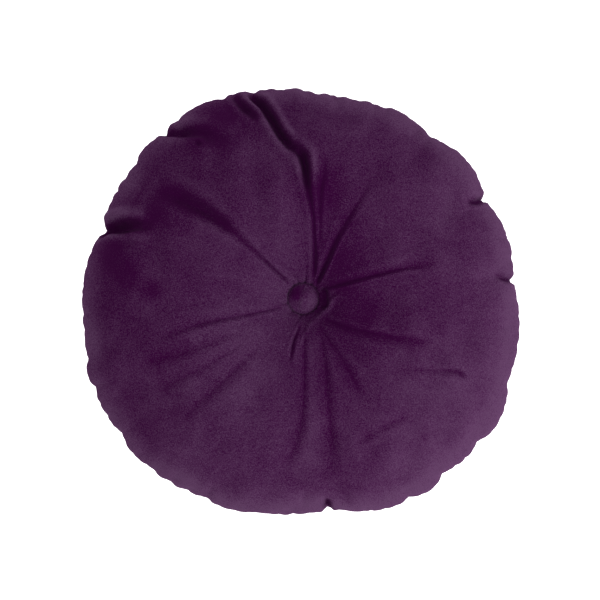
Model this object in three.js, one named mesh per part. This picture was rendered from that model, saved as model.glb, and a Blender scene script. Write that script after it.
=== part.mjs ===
// A round velvet cushion with a covered button in the middle of each face, lying on its back.
// Two round panels are sewn together at the rim, filled, and drawn in by the buttons.
// Millimetres, +Z up, standing on z = 0 with the origin under the middle of its outline.
// Angles are in degrees, anticlockwise from +X, seen from above, about the buttons' axis.

import * as THREE from "three";

// Driving dimensions
const SEAM_HEIGHT = 50; // the rim seam, above what the cushion lies on
const TOP_FULLNESS = 70; // how far the filling would lift the upper panel above the seam
const BACK_FULLNESS = 68; // and push the lower one below it, before its own weight flattens it
const DOME_ROUND = 2.4; // exponents of a filled panel's cross-section
const DOME_FALL = 0.55;

const TUFT_DEPTH = 46; // how much of the fullness the buttons pull back in at the middle
const TUFT_REACH = 48; // how far out from the middle that pull fades
const TUFT_FADE = 1.1; // exponent of its fading

const SEAM_TUCK = 1.6; // the seam lies this much deeper than the panels would carry it
const SEAM_TUCK_WIDTH = 5; // how far up each panel that tuck reaches
const SEAM_SWAY = { height: 2.5, slow: 3, fast: 7, lead: 40 }; // the seam's wander: waves a turn
const SWAY_FADE = 4; // exponent of its fading over the panels

const BUTTON_DIAMETER = 29;
const BUTTON_BACK_DIAMETER = 24; // of its flat back
const BUTTON_HEIGHT = 9;
const BUTTON_RIM = 3.2; // height of a button's widest ring above its flat back
const BUTTON_ROUND = 0.85; // exponent of its dome, which is fuller than a quarter ellipse below 1
const BUTTON_GAP = 0.3; // between a button's back and the cloth
const SEAT_RADIUS = 13; // the flat spot of cloth that a button is pulled down on

// Each row is one pucker of the rim seam and the scallop that follows it.
// at: the pucker's angle; reach: the outline's radius there; swell: how far the scallop stands out
// beyond the line to the next pucker; fullest: where along the scallop, as a share of it;
// run: how far in over the panels the pucker can be followed.
const PUCKERS = [
  { at: 5, reach: 188, swell: 9.5, fullest: 0.5, run: 14 },
  { at: 29, reach: 185, swell: 12, fullest: 0.42, run: 16 },
  { at: 51.5, reach: 188, swell: 4, fullest: 0.55, run: 14 },
  { at: 68, reach: 189.5, swell: 1.2, fullest: 0.3, run: 12 },
  { at: 76, reach: 187, swell: 1.2, fullest: 0.5, run: 14 },
  { at: 80, reach: 187.5, swell: 0.8, fullest: 0.5, run: 12 },
  { at: 85.5, reach: 188, swell: 0.6, fullest: 0.5, run: 12 },
  { at: 90, reach: 189.5, swell: 2, fullest: 0.4, run: 14 },
  { at: 95.5, reach: 191.5, swell: 2.8, fullest: 0.6, run: 14 },
  { at: 103.5, reach: 191.5, swell: 3.2, fullest: 0.5, run: 12 },
  { at: 112, reach: 196.5, swell: 3, fullest: 0.45, run: 14 },
  { at: 125, reach: 199, swell: 2, fullest: 0.4, run: 12 },
  { at: 130, reach: 195, swell: 4.4, fullest: 0.5, run: 14 },
  { at: 141, reach: 197.5, swell: 1, fullest: 0.5, run: 14 },
  { at: 145, reach: 196.5, swell: 1, fullest: 0.5, run: 14 },
  { at: 150, reach: 196.5, swell: 3.8, fullest: 0.65, run: 12 },
  { at: 161, reach: 188.5, swell: 6, fullest: 0.42, run: 14 },
  { at: 184, reach: 201, swell: 1.3, fullest: 0.6, run: 14 },
  { at: 188, reach: 202, swell: 0.8, fullest: 0.5, run: 12 },
  { at: 195.5, reach: 204.5, swell: 4, fullest: 0.6, run: 14 },
  { at: 203, reach: 206, swell: 2.2, fullest: 0.4, run: 18 },
  { at: 210.5, reach: 208.5, swell: 2.1, fullest: 0.5, run: 12 },
  { at: 216.5, reach: 205.5, swell: 4, fullest: 0.42, run: 20 },
  { at: 228.5, reach: 208, swell: 1.4, fullest: 0.4, run: 12 },
  { at: 234, reach: 206.5, swell: 1.9, fullest: 0.45, run: 14 },
  { at: 239, reach: 203.5, swell: 1.1, fullest: 0.4, run: 14 },
  { at: 244, reach: 203.5, swell: 2.5, fullest: 0.4, run: 14 },
  { at: 258, reach: 199, swell: 2.2, fullest: 0.85, run: 12 },
  { at: 276.5, reach: 191.5, swell: 5.8, fullest: 0.8, run: 24 },
  { at: 298, reach: 204, swell: 6.4, fullest: 0.55, run: 20 },
  { at: 308.5, reach: 203, swell: 4.4, fullest: 0.65, run: 24 },
  { at: 320.5, reach: 204.5, swell: 8.3, fullest: 0.4, run: 22 },
  { at: 338, reach: 199.5, swell: 6.2, fullest: 0.6, run: 18 },
];
const SCALLOP_ROUND = 2.3; // how sharply a scallop rises from its puckers
const PUCKER_SINK = 0.8; // how deep a pucker goes into the panel, as a share of its depth at the rim
const PUCKER_EASE = 20; // how far in from the rim that share is reached

// Creases that run over the face, most of them out from its button. bends: the line's radius and
// angle, the crease's depth and its half width at each bend; steep: how much narrower its left side
// is than its right one, going along the line, from -1 to 1.
const FACE_CREASES = [
  { bends: [[16, 30, 0, 3], [56, 19.5, 1.8, 5], [92, 17, 1.6, 6], [124, 16, 0, 8]], steep: -0.5 },
  { bends: [[15, 50, 0, 3], [24, 57, 3, 4], [57, 60.5, 3, 5], [100, 60, 1.2, 7], [125, 60, 0, 9]],
    steep: -0.5 },
  { bends: [[17, 60, 0, 3], [50, 79.7, 2, 7], [72, 83.3, 3, 10], [97, 86.8, 5, 13],
            [123.5, 91.3, 8, 16], [134, 93.5, 8, 16], [141, 97.4, 8, 16], [159.5, 100.1, 9, 16],
            [179, 101.9, 9, 15], [191, 104.8, 5, 12]], steep: -0.6 },
  { bends: [[45, 70, 0, 3], [79, 79.8, 2, 5], [116, 80.8, 1.5, 6], [130, 82, 0, 7]], steep: -0.4 },
  { bends: [[191, 107.4, 2, 5], [178, 106, 3.5, 8], [160, 104, 0, 8]], steep: 0.5 },
  { bends: [[17, 130, 0, 3], [56, 135, 2.5, 5], [90, 135.5, 3, 8], [122, 137.3, 5, 12],
            [146, 140.6, 4, 13], [172, 144.7, 0, 12]], steep: -0.5 },
  { bends: [[194, 129.1, 4, 5], [176, 126.5, 5, 9], [160, 122, 2.5, 9], [145, 118, 0, 9]],
    steep: 0.3 },
  { bends: [[190, 161.4, 5, 6], [174, 159.7, 8, 12], [160, 157.2, 5, 12], [142, 156.5, 0, 12]],
    steep: 0.3 },
  { bends: [[17, 206, 0, 3], [60, 198.5, 1.8, 5], [100, 198, 1.8, 7], [150, 198, 0, 9]],
    steep: 0.5 },
  { bends: [[60, 208, 0, 5], [100, 205, 2, 9], [140, 203, 1.5, 10], [160, 202, 0, 10]],
    steep: 0.3 },
  { bends: [[45, 227, 0, 5], [90, 226, 1.5, 10], [130, 225, 1.5, 12], [158, 225, 0, 10]],
    steep: 0.3 },
  { bends: [[18, 275, 0, 3], [40, 258.5, 1.6, 5], [58, 255, 0, 5]], steep: 0.6 },
  { bends: [[25, 271, 0, 4], [60, 270.5, 2, 9], [125, 268, 1.6, 10], [150, 263, 0, 9]],
    steep: 0.4 },
  { bends: [[22, 305, 0, 4], [56, 291, 2, 7], [119, 282, 2, 8], [165, 279, 1, 7],
            [192, 276.7, 1.5, 5]], steep: 0.5 },
  { bends: [[20, 296, 0, 3], [39, 301, 1, 4], [75, 302, 1.2, 6], [113, 300, 0, 8]], steep: 0.4 },
  { bends: [[18, 308, 0, 3], [34, 323, 1.4, 4], [91, 338, 1.4, 6], [122, 340, 0, 8]], steep: 0.5 },
];
const CREASE_RIM_FADE = 3; // how far from the rim a crease gives way to the puckers

// The back, which rests, has plain creases, evenly spaced, that lean to both sides in turn.
const BACK_CREASE_COUNT = 9;
const BACK_CREASE_BENDS = [[14, 0, 2], [30, 4, 4], [60, 4, 6], [110, 0, 8]]; // radius, depth, width
const BACK_CREASE_LEAN = 6; // how far round they go by their outer ends

// Fineness of the mesh
const DEGREES_PER_STEP = 2.5;
const TOP_RINGS = 19;
const BACK_RINGS = 14;
const SLOPE_STEP = 0.01; // the share of a panel's width over which its slope is taken
const ON_THE_LINE = 0.01; // nearer than this, a place has no side of a crease
const BUTTON_STEPS = 9;
const BUTTON_SIDES = 28;

const VELVET = new THREE.MeshStandardMaterial({ color: 0x472347, roughness: 0.95, metalness: 0 });
const BUTTON_VELVET = new THREE.MeshStandardMaterial({ color: 0x4a264a, roughness: 0.9, metalness: 0 });

const { lerp, smoothstep, euclideanModulo, degToRad: radians } = THREE.MathUtils;
const easeInOut = (share) => smoothstep(share, 0, 1);

function polar(radius, angle, height) {
  return new THREE.Vector3(radius * Math.cos(radians(angle)), radius * Math.sin(radians(angle)), height);
}

const BACK_CREASES = Array.from({ length: BACK_CREASE_COUNT }, (_, number) => {
  const angle = (number * 360) / BACK_CREASE_COUNT;
  const lean = number % 2 ? BACK_CREASE_LEAN : -BACK_CREASE_LEAN;
  const last = BACK_CREASE_BENDS.length - 1;
  const turned = ([radius, ...size], index) => [radius, angle + (lean * index) / last, ...size];
  return { bends: BACK_CREASE_BENDS.map(turned), steep: 0 };
});

// A crease with its bends as points, so that each leg runs from one to the next.
function withLegs({ bends, steep }) {
  const points = bends.map(([radius, angle, deep, wide]) => ({ at: polar(radius, angle, 0), deep, wide }));
  const legs = points.slice(1).map((to, index) => {
    const from = points[index];
    return { line: new THREE.Line3(from.at, to.at), from, to };
  });
  return { legs, steep };
}

const FRONT = {
  up: 1,
  fullness: TOP_FULLNESS,
  creases: FACE_CREASES.map(withLegs),
  rings: TOP_RINGS,
};
const BACK = {
  up: -1,
  fullness: BACK_FULLNESS,
  creases: BACK_CREASES.map(withLegs),
  rings: BACK_RINGS,
};

// The angle at which a pucker's scallop ends, which is the next pucker's.
function scallopEnd(index) {
  return index + 1 < PUCKERS.length ? PUCKERS[index + 1].at : PUCKERS[0].at + 360;
}

// The scallop that an angle lies in, and how far along it the angle is, from 0 to 1.
function scallopAt(angle) {
  const turned = euclideanModulo(angle - PUCKERS[0].at, 360) + PUCKERS[0].at;
  let index = PUCKERS.length - 1;
  while (PUCKERS[index].at > turned) index -= 1;
  const start = PUCKERS[index].at;
  const next = PUCKERS[(index + 1) % PUCKERS.length];
  return { pucker: PUCKERS[index], next, share: (turned - start) / (scallopEnd(index) - start) };
}

// The outline's radius, with every scallop and pucker.
function outline(angle) {
  const { pucker, next, share } = scallopAt(angle);
  const rise = share < pucker.fullest ? share / pucker.fullest : (1 - share) / (1 - pucker.fullest);
  return lerp(pucker.reach, next.reach, share) + pucker.swell * (1 - (1 - rise) ** SCALLOP_ROUND);
}

// The outline without its puckers goes through the scallops' fullest points.
const SCALLOP_TOPS = PUCKERS.map(({ at, fullest }, index) => {
  const angle = lerp(at, scallopEnd(index), fullest);
  return { angle, reach: outline(angle) };
});

function smoothOutline(angle) {
  const first = SCALLOP_TOPS[0].angle;
  const turned = euclideanModulo(angle - first, 360) + first;
  let index = SCALLOP_TOPS.length - 1;
  while (SCALLOP_TOPS[index].angle > turned) index -= 1;
  const here = SCALLOP_TOPS[index];
  const next = SCALLOP_TOPS[(index + 1) % SCALLOP_TOPS.length];
  const end = next.angle > here.angle ? next.angle : next.angle + 360;
  return lerp(here.reach, next.reach, easeInOut((turned - here.angle) / (end - here.angle)));
}

// How far in over the panel the puckers near an angle run.
function puckerRun(angle) {
  const { pucker, next, share } = scallopAt(angle);
  return lerp(pucker.run, next.run, easeInOut(share));
}

// How far a crease sinks the panel at a place. It is sharp at its line and fades to both sides.
function sinkOf({ legs, steep }, place) {
  let nearest = { aside: Infinity };
  for (const { line, from, to } of legs) {
    const along = line.closestPointToPointParameter(place, true);
    const away = place.clone().sub(line.at(along, new THREE.Vector3()));
    const aside = away.length();
    if (aside < nearest.aside) nearest = { aside, away, along: easeInOut(along), line, from, to };
  }
  const { aside, away, along, line, from, to } = nearest;
  const direction = line.delta(new THREE.Vector3()).normalize();
  const side = direction.cross(away).z / Math.max(aside, ON_THE_LINE);
  const width = lerp(from.wide, to.wide, along) * (1 - steep * side);
  return lerp(from.deep, to.deep, along) * Math.exp(-aside / width);
}

// How far the button has pulled a panel in at a radius.
function tuft(radius) {
  return TUFT_DEPTH * Math.exp(-((radius / TUFT_REACH) ** TUFT_FADE));
}

// A panel's cross-section without creases: its radius, and its height over the seam.
function plainPoint(panel, rim, out) {
  const radius = lerp(SEAT_RADIUS, rim, Math.sin((out * Math.PI) / 2));
  const dome = (1 - (radius / rim) ** DOME_ROUND) ** DOME_FALL;
  return new THREE.Vector2(radius, panel.fullness * dome - tuft(radius));
}

// The height of the flat spot that a panel's button is pulled down on.
function seatHeight(panel) {
  return SEAM_HEIGHT + panel.up * (panel.fullness - tuft(SEAT_RADIUS));
}

// A point of a panel. out: from 0 at the seat of the button to 1 at the seam.
function panelPoint(panel, angle, out) {
  const rim = smoothOutline(angle) + SEAM_TUCK;
  const here = plainPoint(panel, rim, out);
  const fromSeam = Math.hypot(rim - here.x, here.y);

  const ahead = plainPoint(panel, rim, Math.min(out + SLOPE_STEP, 1));
  const slope = ahead.sub(plainPoint(panel, rim, out - SLOPE_STEP));
  const outward = new THREE.Vector2(-slope.y, slope.x).normalize();

  const notch = smoothOutline(angle) - outline(angle);
  const puckerShare = lerp(PUCKER_SINK, 1, Math.exp(-fromSeam / PUCKER_EASE));
  const pucker = notch * puckerShare * Math.exp(-fromSeam / puckerRun(angle));
  const place = polar(here.x, angle, 0);
  const deepest = Math.max(...panel.creases.map((crease) => sinkOf(crease, place)));
  const crease = deepest * (1 - Math.exp(-fromSeam / CREASE_RIM_FADE));
  const tuck = SEAM_TUCK * Math.exp(-fromSeam / SEAM_TUCK_WIDTH);
  here.addScaledVector(outward, -(crease + pucker + tuck));

  const { height, slow, fast, lead } = SEAM_SWAY;
  const sway = height * Math.sin(radians(slow * angle)) * Math.sin(radians(fast * angle + lead));
  const level = SEAM_HEIGHT + panel.up * here.y + sway * out ** SWAY_FADE;
  return polar(here.x, angle, Math.max(0, level)); // flat where it rests
}

// The angles of the mesh's meridians: one at each pucker, and even steps between.
function meridians() {
  return PUCKERS.flatMap(({ at }, index) => {
    const end = scallopEnd(index);
    const steps = Math.max(2, Math.round((end - at) / DEGREES_PER_STEP));
    return Array.from({ length: steps }, (_, step) => lerp(at, end, step / steps));
  });
}

// A panel's rings of points, from the flat seat of its button out to the last one before the seam.
function panelRings(panel, angles) {
  const seat = angles.map((angle) => polar(SEAT_RADIUS, angle, seatHeight(panel)));
  const outs = Array.from({ length: panel.rings - 1 }, (_, ring) => (ring + 1) / panel.rings);
  return [seat, ...outs.map((out) => angles.map((angle) => panelPoint(panel, angle, out)))];
}

// The whole cover as one closed mesh: rings from the upper seat out to the seam, and in again below.
function cushionGeometry() {
  const angles = meridians();
  const seam = angles.map((angle) => panelPoint(FRONT, angle, 1));
  const rings = [...panelRings(FRONT, angles), seam, ...panelRings(BACK, angles).reverse()];
  const middles = [FRONT, BACK].map((panel) => new THREE.Vector3(0, 0, seatHeight(panel)));
  const points = [...rings.flat(), ...middles];

  const count = angles.length;
  const topMiddle = rings.length * count;
  const backMiddle = topMiddle + 1;
  const lastRing = (rings.length - 1) * count;
  const faces = [];
  for (let turn = 0; turn < count; turn += 1) {
    const beside = (turn + 1) % count;
    faces.push(topMiddle, turn, beside);
    faces.push(backMiddle, lastRing + beside, lastRing + turn);
    for (let ring = 0; ring < lastRing; ring += count) {
      const [near, far] = [ring + turn, ring + count + turn];
      const [nearBeside, farBeside] = [ring + beside, ring + count + beside];
      faces.push(near, far, farBeside, near, farBeside, nearBeside);
    }
  }
  const geometry = new THREE.BufferGeometry().setFromPoints(points);
  geometry.setIndex(faces);
  geometry.computeVertexNormals();
  return geometry;
}

// A covered button: a flat back, a rounded side and a low dome, turned about +Z with its back at 0.
function buttonGeometry() {
  const profile = [new THREE.Vector2(0, 0), new THREE.Vector2(BUTTON_BACK_DIAMETER / 2, 0)];
  for (let step = 0; step < BUTTON_STEPS; step += 1) {
    const lift = (step / BUTTON_STEPS) * (Math.PI / 2);
    const radius = (BUTTON_DIAMETER / 2) * Math.cos(lift) ** BUTTON_ROUND;
    profile.push(new THREE.Vector2(radius, lerp(BUTTON_RIM, BUTTON_HEIGHT, Math.sin(lift))));
  }
  profile.push(new THREE.Vector2(0, BUTTON_HEIGHT));
  return new THREE.LatheGeometry(profile, BUTTON_SIDES).rotateX(Math.PI / 2);
}

function named(name, geometry, material) {
  const mesh = new THREE.Mesh(geometry, material);
  mesh.name = name;
  return mesh;
}

const cushion = named("cushion", cushionGeometry(), VELVET);

const frontButton = named("front_button", buttonGeometry(), BUTTON_VELVET);
frontButton.position.z = seatHeight(FRONT) + BUTTON_GAP;

const backButton = named("back_button", buttonGeometry(), BUTTON_VELVET);
backButton.rotation.x = Math.PI;
backButton.position.z = seatHeight(BACK) - BUTTON_GAP;

// The outline is uneven, so the buttons' axis lies a little off its middle.
const group = new THREE.Group();
group.add(cushion, frontButton, backButton);
const middle = new THREE.Box3().setFromObject(cushion).getCenter(new THREE.Vector3());
group.position.set(-middle.x, -middle.y, 0);

export default group;
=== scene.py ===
"""A round cushion in plum velvet with a covered button in each face, lying on its back.

Blender works in metres. The tables and sizes here are in millimetres, which MM turns to metres.
Angles are in degrees, anticlockwise from +X, seen from above, about the buttons' axis.
"""

import math

import bpy
import numpy as np
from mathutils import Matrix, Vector


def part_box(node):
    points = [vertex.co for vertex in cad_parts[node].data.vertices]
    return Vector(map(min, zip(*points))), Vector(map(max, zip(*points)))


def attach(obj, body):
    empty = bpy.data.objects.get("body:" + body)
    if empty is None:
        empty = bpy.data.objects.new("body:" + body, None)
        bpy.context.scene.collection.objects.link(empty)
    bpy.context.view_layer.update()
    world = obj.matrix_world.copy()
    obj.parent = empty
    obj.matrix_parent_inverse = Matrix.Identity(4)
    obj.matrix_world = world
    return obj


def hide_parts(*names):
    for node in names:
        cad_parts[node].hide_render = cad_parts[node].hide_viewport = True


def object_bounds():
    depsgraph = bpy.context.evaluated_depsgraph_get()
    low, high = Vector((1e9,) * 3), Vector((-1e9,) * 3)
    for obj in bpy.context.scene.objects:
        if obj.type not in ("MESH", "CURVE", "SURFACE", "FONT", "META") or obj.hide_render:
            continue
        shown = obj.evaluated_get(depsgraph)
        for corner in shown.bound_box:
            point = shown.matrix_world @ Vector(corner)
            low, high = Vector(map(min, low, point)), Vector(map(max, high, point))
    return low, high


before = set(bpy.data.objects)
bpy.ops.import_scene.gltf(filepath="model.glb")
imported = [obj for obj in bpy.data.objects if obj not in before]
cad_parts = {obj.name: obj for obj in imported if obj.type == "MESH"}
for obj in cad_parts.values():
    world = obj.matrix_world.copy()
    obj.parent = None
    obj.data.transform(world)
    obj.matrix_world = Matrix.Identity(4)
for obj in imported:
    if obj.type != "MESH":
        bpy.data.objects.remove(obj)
cad_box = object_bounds()

MM = 0.001

# Where the buttons sit, from the frame, in millimetres
button_low, button_high = (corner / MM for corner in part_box("front_button"))
BUTTON_AXIS = (button_low + button_high) / 2
BUTTON_DIAMETER = button_high.x - button_low.x
BUTTON_HEIGHT = button_high.z - button_low.z
SEAT_RADIUS = 13  # the flat spot of cloth that a button is pulled down on

# The filled cover's cross-section
SEAM_HEIGHT = 50
FULLNESS = {"front": 70, "back": 68}  # how far the filling would push each panel out
DOME_ROUND = 2.4
DOME_FALL = 0.55
TUFT_DEPTH = 46  # how much of that the buttons pull back in
TUFT_REACH = 48
TUFT_FADE = 1.1
COLLAR_HEIGHT = 4.5  # the cloth stands up this much more against the button
COLLAR_RISE = (11.5, 14.3)
COLLAR_FALL = (16, 80)
SEAM_TUCK = 1.6
SEAM_TUCK_WIDTH = 5
SEAM_GROOVE = 1.3  # the stitches draw the two panels' edges in this much more
SEAM_GROOVE_WIDTH = 1
SEAM_SHADE = 3  # painted shade: the seam's groove is painted as dark as a fold this deep
SEAM_SWAY = 2.5
SWAY_SLOW = 3
SWAY_FAST = 7
SWAY_LEAD = 40
SWAY_FADE = 4

# Each row is one pucker of the rim seam and the scallop that follows it.
# reach: the outline's radius at the pucker; swell: how far the scallop stands out beyond the line
# to the next pucker; fullest: where along the scallop; run: how far in the pucker can be followed.
PUCKER_COLUMNS = ("at", "reach", "swell", "fullest", "run")
PUCKERS = [
    (5, 187, 10.5, 0.55, 14),
    (29, 181.5, 13, 0.42, 16),
    (51.5, 184, 5, 0.6, 14),
    (68, 189.5, 1.2, 0.3, 12),
    (76, 187, 1.2, 0.5, 14),
    (80, 187.5, 0.8, 0.5, 12),
    (85.5, 188, 0.6, 0.5, 12),
    (90, 189.5, 2, 0.4, 14),
    (95.5, 191.5, 2.8, 0.6, 14),
    (103.5, 191.5, 3.2, 0.5, 12),
    (112, 196.5, 3, 0.45, 14),
    (125, 199, 2, 0.4, 12),
    (130, 195, 4.4, 0.5, 14),
    (141, 197.5, 1, 0.5, 14),
    (145, 196.5, 1, 0.5, 14),
    (150, 196.5, 3.8, 0.65, 12),
    (161, 188.5, 6, 0.42, 14),
    (184, 201, 1.3, 0.6, 14),
    (188, 202, 0.8, 0.5, 12),
    (195.5, 204.5, 4, 0.6, 14),
    (203, 206, 2.2, 0.4, 18),
    (210.5, 208.5, 2.1, 0.5, 12),
    (216.5, 205.5, 4, 0.42, 20),
    (228.5, 208, 1.4, 0.4, 12),
    (234, 206.5, 1.9, 0.45, 14),
    (239, 203.5, 1.1, 0.4, 14),
    (244, 203.5, 2.5, 0.4, 14),
    (258, 199, 2.2, 0.85, 12),
    (276.5, 191.5, 5.8, 0.8, 24),
    (298, 204, 6.4, 0.55, 20),
    (308.5, 203, 4.4, 0.65, 24),
    (320.5, 204.5, 8.3, 0.4, 22),
    (338, 199.5, 6.2, 0.6, 18),
]
SCALLOP_ROUND = 2.3
PUCKER_SINK = 0.8
PUCKER_EASE = 20

# Creases of the face. Each bend of a crease's line is (radius, angle, deep, wide): how far the cloth
# sinks there, and how far that reaches to its sides. A fold that stands up has negative depths.
# square: 1 for a sharp line between gentle slopes, 2 or 3 for a trough with steep walls;
# steep: how much narrower the left side is than the right one, going along the line, from -1 to 1.
FACE_CREASES = [
    {"bends": [(17, 33, 0, 2), (22, 25, 1.6, 2), (40, 20, 2.4, 2.2), (60, 18.5, 2.2, 2.4),
               (90, 17, 1.8, 2.6), (112, 15.5, 1, 4), (124, 15, 0, 5)], "square": 1.3, "steep": -0.4},
    {"bends": [(16, 47, 0, 1.6), (20, 50, 3.2, 1.8), (26, 53, 3.8, 2), (40, 57.5, 3.6, 2.1),
               (57, 60.5, 2.8, 2.3), (80, 61, 1.8, 3), (105, 60.5, 1, 4), (125, 60, 0, 5)],
     "square": 1.3, "steep": -0.35},
    {"bends": [(17, 62, 0, 2), (26, 69.5, 2, 2), (38, 76, 2.2, 2), (50, 79.7, 2, 2), (72, 83.6, 2, 2.2),
               (94, 87.4, 3, 2.4), (104, 88.6, 6, 2.8), (117, 89.3, 9, 3.2), (126, 90.4, 9, 3.6),
               (132, 92.4, 6, 3.6), (137, 95.4, 8, 3.4), (147, 98, 10, 3.3), (162, 100, 10.5, 3.4),
               (178, 101.9, 10, 3.4), (190, 104.2, 7, 3.2)], "square": 2.2, "steep": 0},
    {"bends": [(40, 70, 0, 2), (60, 76.5, 1.2, 2.2), (79, 79.8, 1.6, 2.4), (97, 81.2, 1.6, 2.6),
               (116, 80.8, 1, 4), (130, 82, 0, 5)], "square": 1.3, "steep": -0.3},
    {"bends": [(193, 108.8, 4, 3), (180, 107.2, 6, 3.3), (170, 105.3, 4, 3.2), (161, 104, 0, 3)],
     "square": 2, "steep": 0},
    {"bends": [(17, 133, 0, 1.4), (24, 134, 1.6, 1.4), (40, 135.5, 1.8, 1.5), (60, 136, 1.4, 1.8),
               (80, 136.5, 2, 3), (100, 137, 4, 4.5), (120, 138.5, 5.5, 5.5), (140, 140.3, 5, 6),
               (152, 141.5, 3, 7), (168, 144, 0, 8)], "square": 1.7, "steep": 0},
    {"bends": [(198, 130, 4, 3), (194, 128.7, 7, 3.5), (184, 125, 7, 4.5), (172, 121.2, 5, 5),
               (158, 118, 2.5, 6), (148, 116, 0, 7)], "square": 2, "steep": 0},
    {"bends": [(170, 124.6, 0, 2), (166, 124, 3.5, 3), (161, 123, 0, 2)], "square": 1.5, "steep": 0},
    {"bends": [(192, 162, 7, 4), (184, 160, 11, 4.6), (174, 158.4, 10, 5), (163, 156.6, 7, 5.2),
               (155, 155.3, 3, 5), (146, 154, 0, 5)], "square": 2.4, "steep": -0.2},
    {"bends": [(190, 157, 0, 3), (187, 155.8, -1.8, 3), (176, 153.8, -1.8, 3.5), (164, 153, -1.5, 4),
               (150, 153, 0, 4)], "square": 1.5, "steep": 0},
    {"bends": [(192, 164, 0, 1.6), (186, 162.8, -1.2, 1.6), (176, 161.2, -1.2, 1.6), (166, 160, 0, 1.6)],
     "square": 1.5, "steep": 0},
    {"bends": [(17, 202, 0, 2), (30, 198, 1, 2), (60, 195, 1.4, 2.5), (89, 193.5, 1.6, 3.2),
               (115, 194.5, 1.2, 4.5), (140, 195.5, 0, 6)], "square": 1.2, "steep": 0.3},
    {"bends": [(55, 208, 0, 5), (100, 205, 1.4, 6), (140, 203, 1.4, 7), (162, 202, 0, 8)],
     "square": 1, "steep": 0.3},
    {"bends": [(45, 227, 0, 4), (90, 226, 1.3, 6), (130, 225, 1.5, 7), (160, 225, 0, 8)],
     "square": 1, "steep": 0.3},
    {"bends": [(60, 216, 0, 4), (95, 215, 1, 5), (135, 213, 1.2, 6), (160, 212, 0, 7)],
     "square": 1, "steep": 0.3},
    {"bends": [(22, 266, 0, 1.2), (28, 260, 1.2, 1.4), (36, 257.5, 2, 1.4), (44, 257, 2, 1.5),
               (52, 257.5, 1.2, 1.5), (58, 258, 0, 1.6)], "square": 1.5, "steep": 0},
    {"bends": [(22, 272, 0, 2), (40, 271, 0.9, 2.4), (60, 270.5, 1.1, 2.8), (90, 270, 1.2, 3.4),
               (115, 268.5, 1.5, 5), (135, 266, 1.5, 6), (158, 262, 0, 7)], "square": 1.2, "steep": 0.3},
    {"bends": [(22, 305, 0, 2), (40, 294, 1, 3), (56, 289, 1.3, 4), (97, 283, 1.4, 4.5),
               (119, 281.5, 1.6, 5), (150, 279.5, 0.8, 6), (168, 279, 0, 6)], "square": 1.2, "steep": 0.3},
    {"bends": [(193, 276.6, 6, 2.8), (187, 276.8, 4, 2.8), (179, 277, 0, 3)], "square": 2, "steep": 0},
    {"bends": [(20, 296, 0, 2), (39, 301, 1.4, 3), (75, 302, 1.6, 4), (113, 300, 0, 6)],
     "square": 1, "steep": 0.3},
    {"bends": [(18, 308, 0, 2), (34, 323, 2, 2.4), (55, 330.5, 2, 3), (91, 338, 1.8, 3.5),
               (105, 340, 1.4, 4), (122, 341, 0, 5)], "square": 1.2, "steep": 0.4},
    {"bends": [(98, 324, 0, 2), (115, 328, 0.7, 2.2), (132, 331.5, 1, 2.4), (142, 333.8, 2, 2.4),
               (149, 334.8, 2.6, 2.4), (154, 334.6, 2.2, 2.4), (160, 333.2, 0, 2)],
     "square": 1.3, "steep": 0.3},
    {"bends": [(133, 289, 0, 2.5), (134.5, 292.3, 1.2, 2.6), (133, 299, 0.5, 2.6), (134, 303, 1, 2.6),
               (136, 307, 1, 2.6), (139, 312, 0, 3)], "square": 1.3, "steep": -0.3},
    {"bends": [(203, 28.4, 3, 2), (189, 28.6, 5, 2.4), (180, 29.2, 3.5, 2.8), (166, 32, 0, 3.5)],
     "square": 1.2, "steep": 0.3},
    {"bends": [(203, 4.6, 3, 2), (193, 4.8, 5, 2.4), (184, 5.6, 3.5, 2.8), (170, 8.5, 0, 3.5)],
     "square": 1.2, "steep": 0.3},
    {"bends": [(33, 8, 0, 1.3), (27, 0, -1.4, 1.4), (23.5, 340, -2.2, 1.5), (21.5, 322, -1.8, 1.4),
               (21.5, 300, -1, 1.3), (24, 283, -0.8, 1.2), (34, 268, -0.9, 1.2), (48, 264, 0, 1.2)],
     "square": 1.3, "steep": 0},
    {"bends": [(17, 36, 0, 2), (19, 18, 4.4, 2.4), (19, 345, 4.8, 2.6), (17, 322, 0, 2)],
     "square": 1.5, "steep": 0},
]
BACK_CREASE_COUNT = 9
BACK_CREASE = {"square": 1, "steep": 0}
BACK_CREASE_BENDS = [(14, 0, 2), (30, 4, 4), (60, 4, 6), (110, 0, 8)]  # radius, deep, wide
BACK_CREASE_LEAN = 6  # how far round they go by their outer ends
CREASE_SOFT = 0.15  # how rounded the bottom of a crease is, as a share of its width
CREASE_ROLL = 0.16  # the cloth swells beside a crease by this share of its depth
CREASE_ROLL_AT = 2.3  # widths from the line
CREASE_ROLL_WIDE = 0.9
CREASE_RIM_FADE = 3
CREASE_BLEND = 5  # exponent that joins creases where they meet
LEAST_LENGTH = 0.01  # what a length that is divided by is held above

# Small gathers of cloth, drawn up by the rim seam and under the buttons. They are drawn at random
# within these limits. spacing and wide: along the rim or round the button; run: inwards or outwards.
RIM_GATHERS = {"spacing": (6, 15), "deep": (0.5, 1.6), "wide": (2, 3.8), "run": (8, 28), "lean": 20}
BUTTON_GATHERS = {"spacing": (3, 8), "deep": (0.4, 1.4), "wide": (0.9, 1.8), "run": (5, 16), "lean": 18}
RIM_GATHERS_RADIUS = 198
GATHER_FADE = 1.5  # exponent

# Loose filling: soft lumps under the cloth. Near the seat and the seam the cloth is too taut for them.
LUMPS = [{"size": 95, "height": 1.6}, {"size": 42, "height": 0.7}]
LUMP_WAVES = 28  # how many waves make up the random field
LUMP_SIZES = (0.7, 1.6)  # the waves' lengths, as shares of the lumps' size
LOOSE_RADIUS = 60  # where the cloth is as loose as it gets
LOOSE_FROM_SEAM = 50

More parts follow.
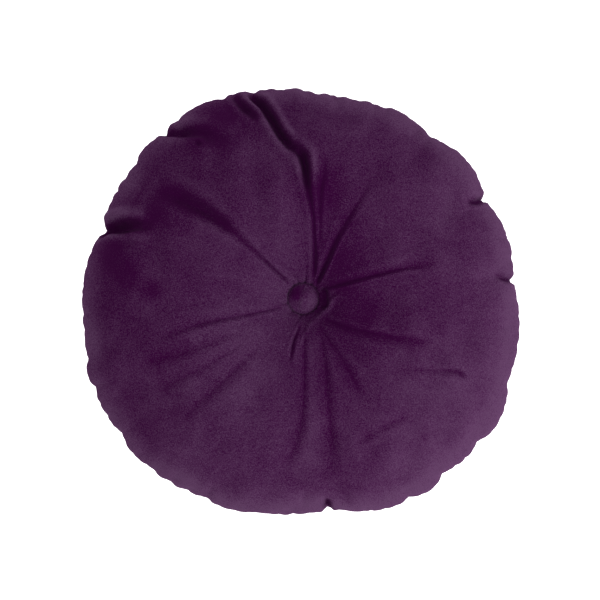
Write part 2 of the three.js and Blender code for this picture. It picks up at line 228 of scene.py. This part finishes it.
SEEDS = {"rim": 5, "front": 11, "back": 12, "button": 21}

# Fineness of the cover's mesh
TURNS = 720
RINGS = {"front": 100, "back": 36}
SLOPE_STEP = 0.01
SECTION_STEPS = 400
SECTION_CROWDING = 3  # exponent that crowds the steps towards the rim
MEAN_RIM = 200


def lerp(start, end, share):
    return start + (end - start) * share


def smoothstep(value, low, high):
    share = np.clip((value - low) / (high - low), 0, 1)
    return share * share * (3 - 2 * share)


puckers = dict(zip(PUCKER_COLUMNS, np.array(PUCKERS, float).T))


def scallop_at(angle):
    """The scallop that each angle lies in, the next one, and how far along it the angle is."""
    at = puckers["at"]
    turned = (angle - at[0]) % 360 + at[0]
    index = np.searchsorted(at, turned, side="right") - 1
    after = (index + 1) % len(at)
    end = np.where(after == 0, at[0] + 360, at[after])
    return index, after, (turned - at[index]) / (end - at[index])


def outline(angle):
    """The outline's radius, with every scallop and pucker."""
    index, after, share = scallop_at(angle)
    fullest = puckers["fullest"][index]
    rise = np.where(share < fullest, share / fullest, (1 - share) / (1 - fullest))
    line = lerp(puckers["reach"][index], puckers["reach"][after], share)
    return line + puckers["swell"][index] * (1 - (1 - rise) ** SCALLOP_ROUND)


def scallop_tops():
    """The angle and radius of each scallop's fullest point."""
    at = puckers["at"]
    ends = np.append(at[1:], at[0] + 360)
    angle = lerp(at, ends, puckers["fullest"])
    return angle, outline(angle)


TOP_ANGLES, TOP_REACHES = scallop_tops()


def smooth_outline(angle):
    """The outline without its puckers, through the scallops' fullest points."""
    turned = (angle - TOP_ANGLES[0]) % 360 + TOP_ANGLES[0]
    index = np.searchsorted(TOP_ANGLES, turned, side="right") - 1
    after = (index + 1) % len(TOP_ANGLES)
    end = np.where(after == 0, TOP_ANGLES[0] + 360, TOP_ANGLES[after])
    share = smoothstep(turned, TOP_ANGLES[index], end)
    return lerp(TOP_REACHES[index], TOP_REACHES[after], share)


def pucker_run(angle):
    index, after, share = scallop_at(angle)
    return lerp(puckers["run"][index], puckers["run"][after], smoothstep(share, 0, 1))


def polar(radius, angle):
    turned = np.radians(angle)
    return np.stack([radius * np.cos(turned), radius * np.sin(turned)], axis=-1)


def sink_of(crease, place):
    """How far a crease sinks the panel at each place, in plan."""
    radius, angle, deep, wide = np.array(crease["bends"], float).T
    bends = polar(radius, angle)
    nearest = np.full(place.shape[:-1], np.inf)
    depth, width, side = np.zeros((3, *place.shape[:-1]))
    for number, leg in enumerate(np.diff(bends, axis=0)):
        offset = place - bends[number]
        share = np.clip(offset @ leg / (leg @ leg), 0, 1)
        away = offset - share[..., None] * leg
        aside = np.linalg.norm(away, axis=-1)
        turned = (leg[0] * away[..., 1] - leg[1] * away[..., 0]) / np.linalg.norm(leg)
        closer = aside < nearest
        nearest = np.where(closer, aside, nearest)
        side = np.where(closer, turned / np.maximum(aside, LEAST_LENGTH), side)
        share = smoothstep(share, 0, 1)
        depth = np.where(closer, lerp(deep[number], deep[number + 1], share), depth)
        width = np.where(closer, lerp(wide[number], wide[number + 1], share), width)
    apart = nearest / (width * (1 - crease["steep"] * side))
    square = crease["square"]
    valley = np.exp(CREASE_SOFT**square - np.hypot(apart, CREASE_SOFT) ** square)
    roll = CREASE_ROLL * np.exp(-(((apart - CREASE_ROLL_AT) / CREASE_ROLL_WIDE) ** 2))
    return depth * (valley - roll)


def creased(creases, place):
    """How far all the creases sink the panel: the deepest where they meet, less the folds."""
    sinks = [sink_of(crease, place) for crease in creases]
    valleys = sum(np.maximum(sink, 0) ** CREASE_BLEND for sink in sinks) ** (1 / CREASE_BLEND)
    return valleys + sum(np.minimum(sink, 0) for sink in sinks)


def back_creases():
    """Plain creases for the back, evenly spaced, leaning to both sides in turn."""
    made = []
    for number in range(BACK_CREASE_COUNT):
        angle = number * 360 / BACK_CREASE_COUNT
        lean = BACK_CREASE_LEAN if number % 2 else -BACK_CREASE_LEAN
        last = len(BACK_CREASE_BENDS) - 1
        bends = [(radius, angle + lean * bend / last, deep, wide)
                 for bend, (radius, deep, wide) in enumerate(BACK_CREASE_BENDS)]
        made.append({"bends": bends, **BACK_CREASE})
    return made


def gathers(kind, around, seed):
    """Random gathers round a circle of a radius: their angles, depths, widths, runs and leans."""
    draw = np.random.default_rng(seed)
    rows = []
    travelled = 0
    while travelled < 2 * math.pi * around - kind["spacing"][0]:
        row = [draw.uniform(*kind[name]) for name in ("deep", "wide", "run")]
        rows.append([travelled / around, *row, draw.uniform(-kind["lean"], kind["lean"])])
        travelled += draw.uniform(*kind["spacing"])
    return np.array(rows)


def gathered(rows, around, angle, inwards):
    """How far the gathers sink the cloth at an angle and a distance from where they start."""
    sink = np.zeros(np.broadcast(angle, inwards).shape)
    for turn, deep, wide, run, lean in rows:
        aim = np.degrees(turn) + np.degrees(inwards * math.tan(math.radians(lean)) / around)
        aside = np.radians((angle - aim + 180) % 360 - 180) * around
        sink += deep * np.exp(-((aside / wide) ** 2) - (inwards / run) ** GATHER_FADE)
    return sink


def lumps(points, size, seed):
    """A smooth random field over points, about -1 to 1, with lumps of about that size."""
    draw = np.random.default_rng(seed)
    directions = draw.normal(size=(LUMP_WAVES, 3))
    directions /= np.linalg.norm(directions, axis=1)[:, None]
    lengths = size * draw.uniform(*LUMP_SIZES, LUMP_WAVES)
    phases = draw.uniform(0, 2 * math.pi, LUMP_WAVES)
    turns = points @ (directions / lengths[:, None]).T * 2 * math.pi + phases
    return np.sin(turns).sum(axis=-1) * math.sqrt(2 / LUMP_WAVES)


def tuft(radius):
    """How far the button has pulled a panel in at a radius."""
    return TUFT_DEPTH * np.exp(-((radius / TUFT_REACH) ** TUFT_FADE))


def section_height(fullness, rim, radius):
    """A panel's height over the seam at a radius, without creases."""
    dome = np.maximum(1 - (radius / rim) ** DOME_ROUND, 0) ** DOME_FALL
    collar = smoothstep(radius, *COLLAR_RISE) * (1 - smoothstep(radius, *COLLAR_FALL))
    return fullness * dome - tuft(radius) + COLLAR_HEIGHT * collar


def even_shares():
    """Shares of the radius from the seat to the rim that divide the cross-section evenly."""
    share = 1 - np.linspace(1, 0, SECTION_STEPS) ** SECTION_CROWDING
    radius = lerp(SEAT_RADIUS, MEAN_RIM, share)
    height = section_height(FULLNESS["front"], MEAN_RIM, radius)
    steps = np.hypot(np.diff(radius), np.diff(height))
    travelled = np.append(0, np.cumsum(steps))
    return travelled / travelled[-1], share


TRAVELLED, RADIUS_SHARES = even_shares()


def plain_section(fullness, rim, out):
    """A panel's cross-section without creases: its radius, and its height over the seam."""
    radius = lerp(SEAT_RADIUS, rim, np.interp(out, TRAVELLED, RADIUS_SHARES))
    return np.stack([radius, section_height(fullness, rim, radius)], axis=-1)


PANELS = {
    "front": {"up": 1, "creases": FACE_CREASES, "seed": SEEDS["front"]},
    "back": {"up": -1, "creases": back_creases(), "seed": SEEDS["back"]},
}
rim_gathers = gathers(RIM_GATHERS, RIM_GATHERS_RADIUS, SEEDS["rim"])
for side_panel in PANELS.values():
    side_panel["button_gathers"] = gathers(BUTTON_GATHERS, SEAT_RADIUS, side_panel["seed"])


def seat_height(side):
    return SEAM_HEIGHT + PANELS[side]["up"] * (FULLNESS[side] - tuft(SEAT_RADIUS))


def panel_points(side, angle, out, worked=True):
    """The points of a panel over a grid of angles and of shares of the way out to the seam, each with how
    deep it lies in a crease or the seam, which sets the painted shade. Unless it is worked, it has no
    creases and no gathers."""
    panel = PANELS[side]
    rim = smooth_outline(angle) + SEAM_TUCK
    here = plain_section(FULLNESS[side], rim, out)
    radius, height = here[..., 0], here[..., 1]
    ahead = plain_section(FULLNESS[side], rim, np.minimum(out + SLOPE_STEP, 1))
    slope = ahead - plain_section(FULLNESS[side], rim, out - SLOPE_STEP)
    outward = np.stack([-slope[..., 1], slope[..., 0]], axis=-1)
    outward /= np.linalg.norm(outward, axis=-1)[..., None]
    from_seam = np.hypot(rim - radius, height)

    notch = smooth_outline(angle) - outline(angle)
    pucker_share = lerp(PUCKER_SINK, 1, np.exp(-from_seam / PUCKER_EASE))
    pucker = notch * pucker_share * np.exp(-from_seam / pucker_run(angle))
    place = polar(radius, angle)
    groove = np.exp(-from_seam / SEAM_GROOVE_WIDTH)
    tuck = SEAM_TUCK * np.exp(-from_seam / SEAM_TUCK_WIDTH) + SEAM_GROOVE * groove
    crease = np.zeros(radius.shape)
    sink = pucker + tuck
    if worked:
        crease = creased(panel["creases"], place) * (1 - np.exp(-from_seam / CREASE_RIM_FADE))
        sink = sink + crease + gathered(rim_gathers, RIM_GATHERS_RADIUS, angle, from_seam)
        sink += gathered(panel["button_gathers"], SEAT_RADIUS, angle, radius - SEAT_RADIUS)

    solid = np.concatenate([place, (panel["up"] * height)[..., None]], axis=-1)
    loose = smoothstep(radius, SEAT_RADIUS, LOOSE_RADIUS) * smoothstep(from_seam, 0, LOOSE_FROM_SEAM)
    for number, lump in enumerate(LUMPS):
        sink -= lump["height"] * lumps(solid, lump["size"], panel["seed"] + number) * loose
    here = here - sink[..., None] * outward

    sway = SEAM_SWAY * np.sin(np.radians(SWAY_SLOW * angle))
    sway = sway * np.sin(np.radians(SWAY_FAST * angle + SWAY_LEAD)) * out**SWAY_FADE
    level = SEAM_HEIGHT + panel["up"] * here[..., 1] + sway
    place = polar(here[..., 0], angle)
    # The seam's groove is painted dark as a fold
    crease = crease + SEAM_SHADE * groove
    return np.concatenate([place, np.maximum(level, 0)[..., None], crease[..., None]], axis=-1)


def cover_rings(turns, ring_counts, worked=True):
    """Rings of points from the upper seat out to the seam, and in again to the lower seat."""
    angle = np.arange(turns)[None, :] * 360 / turns
    rings = []
    for side, count in ring_counts.items():
        out = np.arange(1, count)[:, None] / count
        seat = np.zeros((turns, 4))
        seat[:, :2] = polar(SEAT_RADIUS, angle[0])
        seat[:, 2] = seat_height(side)
        points = np.concatenate([seat[None], panel_points(side, angle, out, worked)])
        rings.append(points if side == "front" else points[::-1])
    seam = panel_points("front", angle, np.ones((1, 1)), worked)
    return np.concatenate([rings[0], seam, rings[1]])


def seat_middles():
    return [(0, 0, seat_height("front")), (0, 0, seat_height("back"))]


def mesh_of(name, rings, middles):
    """A closed mesh from rings of points, in millimetres about the buttons' axis."""
    count, turns = rings.shape[:2]
    points = np.concatenate([rings.reshape(-1, 3), np.array(middles, float)])
    points[:, :2] += np.array(BUTTON_AXIS[:2])
    step = np.arange(turns)
    beside = (step + 1) % turns
    faces = []
    for ring in range(count - 1):
        near, far = ring * turns, (ring + 1) * turns
        faces += np.stack([near + step, far + step, far + beside, near + beside], 1).tolist()
    first_middle = count * turns
    last = (count - 1) * turns
    faces += [(first_middle, int(a), int(b)) for a, b in zip(step, beside)]
    faces += [(first_middle + 1, last + int(b), last + int(a)) for a, b in zip(step, beside)]
    mesh = bpy.data.meshes.new(name)
    mesh.from_pydata((points * MM).tolist(), [], faces)
    mesh.shade_smooth()
    made = bpy.data.objects.new(name, mesh)
    bpy.context.scene.collection.objects.link(made)
    return made


# The filling presses the cloth out in a simulation of a coarse copy of the cover, which is held at the
# seam and the buttons. Its movement is carried over to the fine mesh, under the creases and gathers.
FILL_TURNS = 180
FILL_RINGS = {"front": 26, "back": 18}
FILL_FRAMES = 20
FILL_MOST = 3  # the furthest that the filling moves any point
# A light, supple cloth that gives by 1% under a steady pressure
FILL_CLOTH = {"quality": 5, "mass": 0.3, "tension_stiffness": 15, "compression_stiffness": 15,
              "shear_stiffness": 5, "bending_stiffness": 0.3, "air_damping": 1,
              "use_pressure": True, "uniform_pressure_force": 4, "shrink_min": -0.01}


def held_points(ring_count):
    """The numbers of the points that can't move: at both seats and along the seam."""
    seam = FILL_RINGS["front"]
    rings = (0, 1, seam, ring_count - 2, ring_count - 1)
    held = [ring * FILL_TURNS + step for ring in rings for step in range(FILL_TURNS)]
    return held + [ring_count * FILL_TURNS, ring_count * FILL_TURNS + 1]


def press_out(copy, held):
    """Runs the simulation on a mesh, and gives its points' new places in millimetres."""
    copy.vertex_groups.new(name="held").add(held, 1.0, "REPLACE")
    cloth = copy.modifiers.new("filling", "CLOTH").settings
    for name, value in FILL_CLOTH.items():
        setattr(cloth, name, value)
    cloth.vertex_group_mass = "held"
    cloth.effector_weights.gravity = 0
    for number in range(1, FILL_FRAMES + 1):
        bpy.context.scene.frame_set(number)
    pressed = copy.evaluated_get(bpy.context.evaluated_depsgraph_get()).data
    places = np.zeros(len(pressed.vertices) * 3)
    pressed.vertices.foreach_get("co", places)
    return places.reshape(-1, 3) / MM


def follow(rows, at, closed):
    """A table's rows at fractional row numbers, along a Catmull-Rom curve through them."""
    first = np.floor(at).astype(int)
    numbers = [first + step for step in (-1, 0, 1, 2)]
    if closed:
        numbers = [number % len(rows) for number in numbers]
    before, start, end, after = (rows[number.clip(0, len(rows) - 1)] for number in numbers)
    share = (at - first)[:, None, None]
    bend = share * (3 * (start - end) + after - before) + 2 * before - 5 * start + 4 * end - after
    return start + share / 2 * (end - before + share * bend)


def fill_moves():
    """How far the filling moves each point of the fine rings."""
    rings = cover_rings(FILL_TURNS, FILL_RINGS, worked=False)[..., :3]
    copy = mesh_of("coarse_cover", rings, seat_middles())
    places = press_out(copy, held_points(len(rings)))[: rings.size // 3]
    places[:, :2] -= np.array(BUTTON_AXIS[:2])
    bpy.data.meshes.remove(copy.data)
    bpy.context.scene.frame_set(1)
    moves = places.reshape(rings.shape) - rings
    length = np.linalg.norm(moves, axis=-1)[..., None]
    moves *= FILL_MOST * np.tanh(length / FILL_MOST) / np.maximum(length, LEAST_LENGTH)
    front = np.arange(RINGS["front"]) * FILL_RINGS["front"] / RINGS["front"]
    back = FILL_RINGS["front"] + np.arange(RINGS["back"] + 1) * FILL_RINGS["back"] / RINGS["back"]
    moves = follow(moves, np.concatenate([front, back]), closed=False)
    turned = follow(moves.transpose(1, 0, 2), np.arange(TURNS) * FILL_TURNS / TURNS, closed=True)
    return turned.transpose(1, 0, 2)


# Painted light, sheen and shade: one number at each point that moves the colour from the deep plum towards
# a paler, duller one. It is paler where slopes face the lights, to the right and a little towards -Y, and
# at the rim (painted sheen). It is darker in the folds (painted shade), paler in some soft patches and
# darker in others.
PAINTED_LIGHT_ATTRIBUTE = "painted_sheen_and_shade"
PAINTED_SHEEN_ON_THE_FLAT = 0.42
PAINTED_LIGHT_WAY = (0.45, -0.22, 0)  # how much paler the painted light makes a slope that faces along each axis
PAINTED_SHEEN_AT_THE_RIM = 0.6
RIM_SHARE = (0.87, 1)  # of the way out to the outline, where the rim's painted sheen rises
PAINTED_SHADE_IN_A_FOLD = 1
FOLD_DEPTH = 4.5
PAINTED_LIGHT_LIMITS = (-0.2, 1)
PAINTED_LIGHT_PATCHES = [  # radius, angle, size, and how much paler it is painted; negative for painted shade, positive for painted light
    (46, 60, 28, -0.3),
    (48, -5, 30, -0.35),
    (95, 79, 22, -0.55),
    (177, 167, 14, -0.55),
    (170, 124, 12, -0.3),
    (128, 141, 16, -0.15),
    (158, 173, 13, -0.65),
    (134, 177, 9, -0.5),
    (140, 147, 18, -0.2),
    (185, 113, 20, -0.6),
    (190, 285, 22, -0.2),
    (95, 225, 45, 0.25),
    (198, 190, 20, 0.3),
    (140, 0, 45, -0.15),
    (150, 215, 30, 0.15),
    (188, 146, 12, 0.3),
    (195, 235, 20, 0.3),
    (150, 330, 30, 0.15),
    (152, 151, 13, -0.3),
]
# Painted shade on the button's upper left, painted light on its lower right
BUTTON_PAINTED_LIGHT_PATCHES = [(9, 145, 8, -0.75), (7, -25, 10, 0.55)]


def paint_sheen_and_shade(piece, sunk, light_patches):
    """Writes the painted light, sheen and shade at each point of a mesh: 0 for none of the pale colour, 1
    for all of it. Beyond those limits its unevenness shows less."""
    mesh = piece.data
    normals = np.zeros(len(mesh.vertices) * 3)
    places = np.zeros(len(mesh.vertices) * 3)
    mesh.vertex_normals.foreach_get("vector", normals)
    mesh.vertices.foreach_get("co", places)
    places = places.reshape(-1, 3)[:, :2] / MM - np.array(BUTTON_AXIS[:2])
    angle = np.degrees(np.arctan2(places[:, 1], places[:, 0]))
    outwards = np.linalg.norm(places, axis=1) / smooth_outline(angle)
    # Painted light: slopes that face the lights, to the right and a little towards -Y, are painted paler
    lean = PAINTED_SHEEN_ON_THE_FLAT + normals.reshape(-1, 3) @ np.array(PAINTED_LIGHT_WAY)
    # Painted sheen: the rim is painted paler
    lean += PAINTED_SHEEN_AT_THE_RIM * smoothstep(outwards, *RIM_SHARE)
    # Painted shade: the folds and the seam's groove are painted darker by how deep they are
    lean -= PAINTED_SHADE_IN_A_FOLD * np.minimum(sunk / FOLD_DEPTH, 1)
    # Soft patches of painted light, which are paler, and of painted shade, which are darker
    for radius, turned, size, more in light_patches:
        away = np.linalg.norm(places - polar(radius, turned), axis=1)
        lean += np.exp(-((away / size) ** 2)) * more
    attribute = mesh.attributes.new(PAINTED_LIGHT_ATTRIBUTE, "FLOAT", "POINT")
    attribute.data.foreach_set("value", lean.clip(*PAINTED_LIGHT_LIMITS))


def make_cover():
    rings = cover_rings(TURNS, RINGS)
    rings[..., :3] += fill_moves()
    rings[..., 2] = np.maximum(rings[..., 2], 0)
    cover = mesh_of("velvet_cover", rings[..., :3], seat_middles())
    # Paints light, sheen and shade into the cover's colour
    paint_sheen_and_shade(cover, np.append(rings[..., 3], [0, 0]), PAINTED_LIGHT_PATCHES)
    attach(cover, "root")
    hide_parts("cushion")
    return cover


BUTTON_TURNS = 96
BUTTON_RINGS = 34
BUTTON_EDGE = 0.85  # exponent of its dome: below 1 its shoulder is fuller than a quarter circle's
BUTTON_BACK = [(12, 0), (13.6, 1)]  # radius and height where the cloth goes in under the button
BUTTON_WIDEST = 3.2  # height of its widest ring
BUTTON_LUMPS = 0.35  # how far the cloth on it is uneven
BUTTON_LUMP_SIZE = 8


def make_button(name, node, up):
    """A metal button covered with the velvet, drawn over its dome and gathered in behind."""
    low, high = (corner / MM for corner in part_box(node))
    base = low.z if up > 0 else high.z
    lift = np.linspace(0, math.pi / 2, BUTTON_RINGS)[:-1]
    radius = BUTTON_DIAMETER / 2 * np.cos(lift) ** BUTTON_EDGE
    height = lerp(BUTTON_WIDEST, BUTTON_HEIGHT - BUTTON_LUMPS, np.sin(lift))
    radius = np.concatenate([[row[0] for row in BUTTON_BACK], radius])
    height = np.concatenate([[row[1] for row in BUTTON_BACK], height])
    turn = np.arange(BUTTON_TURNS) * 2 * math.pi / BUTTON_TURNS * up
    ring = np.stack([np.cos(turn), np.sin(turn)], 1)
    points = np.zeros((len(radius), BUTTON_TURNS, 3))
    points[..., :2] = radius[:, None, None] * ring
    points[..., 2] = height[:, None]
    loose = BUTTON_LUMPS * smoothstep(height, BUTTON_WIDEST, BUTTON_HEIGHT)
    points[..., 2] += loose[:, None] * lumps(points, BUTTON_LUMP_SIZE, SEEDS["button"])
    points[..., 2] = base + up * points[..., 2]
    middles = [(0, 0, base), (0, 0, points[-1, :, 2].mean())]
    button = mesh_of(name, points, middles)
    # Paints light, sheen and shade into the button's colour
    paint_sheen_and_shade(button, 0, BUTTON_PAINTED_LIGHT_PATCHES)
    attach(button, "root")
    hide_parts(node)
    return button


def linear(hex_colour):
    """An sRGB hex colour as the linear red, green, blue and alpha that Blender's sockets take."""
    parts = [int(hex_colour[start : start + 2], 16) / 255 for start in (1, 3, 5)]
    return tuple(p / 12.92 if p <= 0.04045 else ((p + 0.055) / 1.055) ** 2.4 for p in parts) + (1.0,)


def add(tree, kind, inputs=None, **settings):
    """Adds a node. inputs holds a value for a socket, or the output that feeds it."""
    node = tree.nodes.new(kind)
    for name, value in settings.items():
        setattr(node, name, value)
    for socket, value in (inputs or {}).items():
        if isinstance(value, bpy.types.NodeSocket):
            tree.links.new(value, node.inputs[socket])
        else:
            node.inputs[socket].default_value = value
    return node


# The colour sockets of a Mix node
MIX_SHARE = 0
MIX_A = 6
MIX_B = 7
MIX_RESULT = 2


def new_material(name):
    material = bpy.data.materials.new(name)
    material.use_nodes = True
    material.node_tree.nodes.clear()
    return material, material.node_tree


PLUM_IN_PAINTED_SHADE = "#400d40"  # the plum with no painted sheen, where the painted shade is deepest
PLUM_IN_PAINTED_SHEEN = "#5f4460"  # the paler, duller plum of full painted sheen and painted light
MOTTLE_SIZE = 38
MOTTLE = 0.17  # how much the mottling changes how pale it is
MOTTLE_NOISE = (0.3, 0.7)  # the part of the noise's range that is used
TUFT_SIZE = 1.05
SPECKLE = 0.48
SPECKLE_NOISE = (0.35, 0.65)
TUFT_BUMP = 0.8


def spread(tree, noise, limits, most):
    """A noise's value, with these limits of it turned to a range from -most to most."""
    low, high = limits
    return add(tree, "ShaderNodeMapRange", {
        "Value": noise.outputs["Fac"], "From Min": low, "From Max": high,
        "To Min": -most, "To Max": most}).outputs["Result"]


def cut_pile_velvet():
    """Cut-pile polyester velvet, piece-dyed plum. Its colour goes from a deep, saturated plum in painted
    shade to a paler, duller plum in painted sheen and painted light, which the mesh carries."""
    material, tree = new_material("cut_pile_velvet")
    place = add(tree, "ShaderNodeTexCoord").outputs["Object"]
    mottled = add(tree, "ShaderNodeTexNoise", {
        "Vector": place, "Scale": 1 / (MOTTLE_SIZE * MM), "Detail": 5.0, "Roughness": 0.65,
        "Distortion": 0.8})
    # The pile's tufts, 0.3 mm apart, are drawn over three times as coarse so that they show
    tufts = add(tree, "ShaderNodeTexNoise", {
        "Vector": place, "Scale": 1 / (TUFT_SIZE * MM), "Detail": 3.0, "Roughness": 0.7})
    # The painted light, sheen and shade that the mesh carries
    painted_light = add(tree, "ShaderNodeAttribute", attribute_name=PAINTED_LIGHT_ATTRIBUTE)
    uneven = add(tree, "ShaderNodeMath", {
        0: spread(tree, mottled, MOTTLE_NOISE, MOTTLE), 1: spread(tree, tufts, SPECKLE_NOISE, SPECKLE)})
    painted_light_and_mottle = add(tree, "ShaderNodeMath", {0: painted_light.outputs["Fac"], 1: uneven.outputs["Value"]},
                   use_clamp=True)
    # Mixes the plum of painted shade with the plum of painted sheen, by the painted light with the
    # mottling and speckle
    colour = add(tree, "ShaderNodeMix", data_type="RGBA", inputs={
        MIX_SHARE: painted_light_and_mottle.outputs["Value"], MIX_A: linear(PLUM_IN_PAINTED_SHADE), MIX_B: linear(PLUM_IN_PAINTED_SHEEN)})
    bump = add(tree, "ShaderNodeBump", {
        "Height": tufts.outputs["Fac"], "Strength": 0.8, "Distance": TUFT_BUMP * MM})
    shader = add(tree, "ShaderNodeBsdfPrincipled", {
        "Base Color": colour.outputs[MIX_RESULT],
        "Roughness": 0.9,
        "Specular IOR Level": 0.0,
        "Sheen Weight": 0.04,
        "Sheen Roughness": 0.6,
        "Sheen Tint": linear("#ffe7ff"),
        "Normal": bump.outputs["Normal"],
    })
    add(tree, "ShaderNodeOutputMaterial", {"Surface": shader.outputs["BSDF"]})
    return material


def opal_acrylic():
    """A sheet of opal acrylic lit from below: it gives the eye an even ground without a shadow."""
    material, tree = new_material("opal_acrylic")
    shader = add(tree, "ShaderNodeBsdfPrincipled", {
        "Base Color": linear("#f4f4f4"),
        "Roughness": 0.8,
        "Emission Color": linear("#ffffff"),
        "Emission Strength": TABLE_LIGHT,
    })
    add(tree, "ShaderNodeOutputMaterial", {"Surface": shader.outputs["BSDF"]})
    return material


# The photograph's frame
IMAGE_WIDTH = 600  # pixels
CUSHION_PIXELS = 436.5  # the cushion's width in it
CUSHION_MIDDLE = (1.0, -1.3)  # where its middle lies in it, in pixels right of and above the image's
LENS = 100
SENSOR = 36
SEES_TO = 20  # metres


def make_camera():
    """Looks straight down at the cushion's face, as far off as its size in the photograph asks."""
    pixel = (cad_box[1].x - cad_box[0].x) / CUSHION_PIXELS
    distance = IMAGE_WIDTH * pixel * LENS / SENSOR
    data = bpy.data.cameras.new("camera")
    data.lens = LENS
    data.sensor_width = SENSOR
    data.clip_end = SEES_TO
    camera = bpy.data.objects.new("camera", data)
    right, above = CUSHION_MIDDLE
    camera.location = (-right * pixel, -above * pixel, SEAM_HEIGHT * MM + distance)
    bpy.context.scene.collection.objects.link(camera)
    bpy.context.scene.camera = camera


FLOOR_SIZE = 6.0  # metres
FLOOR_GAP = 0.3  # so that its face doesn't coincide with the cushion's underside
TABLE_LIGHT = 0.55


def make_floor():
    half = FLOOR_SIZE / 2
    corners = [(-half, -half), (half, -half), (half, half), (-half, half)]
    mesh = bpy.data.meshes.new("floor")
    mesh.from_pydata([(*corner, -FLOOR_GAP * MM) for corner in corners], [], [(0, 1, 2, 3)])
    floor = bpy.data.objects.new("floor", mesh)
    floor.data.materials.append(opal_acrylic())
    bpy.context.scene.collection.objects.link(floor)


SOFTBOXES = [
    {"name": "key", "from": (1.07, -1.07, 0.88), "size": 0.7, "power": 9},
    {"name": "side", "from": (1.6, 0.58, 0.42), "size": 0.9, "power": 3},
    {"name": "overhead", "from": (0, 0, 1.75), "size": 0.9, "power": 5},
]
STUDIO_LIGHT = 0.66


def make_lights():
    """A white studio, with soft lights at the foot, low on the right and overhead."""
    for box in SOFTBOXES:
        data = bpy.data.lights.new(box["name"], "AREA")
        data.shape = "DISK"
        data.size = box["size"]
        data.energy = box["power"]
        light = bpy.data.objects.new(box["name"], data)
        light.location = box["from"]
        light.rotation_euler = (-Vector(box["from"])).to_track_quat("-Z", "Y").to_euler()
        bpy.context.scene.collection.objects.link(light)
    world = bpy.data.worlds.new("studio")
    world.use_nodes = True
    world.node_tree.nodes["Background"].inputs["Color"].default_value = (1, 1, 1, 1)
    world.node_tree.nodes["Background"].inputs["Strength"].default_value = STUDIO_LIGHT
    bpy.context.scene.world = world


make_camera()
make_floor()
make_lights()
bpy.context.scene.view_settings.view_transform = "Standard"
bpy.context.scene.view_settings.look = "High Contrast"

cloth = cut_pile_velvet()
cover = make_cover()
front = make_button("front_button_cover", "front_button", 1)
behind = make_button("back_button_cover", "back_button", -1)
for piece in (cover, front, behind):
    piece.data.materials.append(cloth)
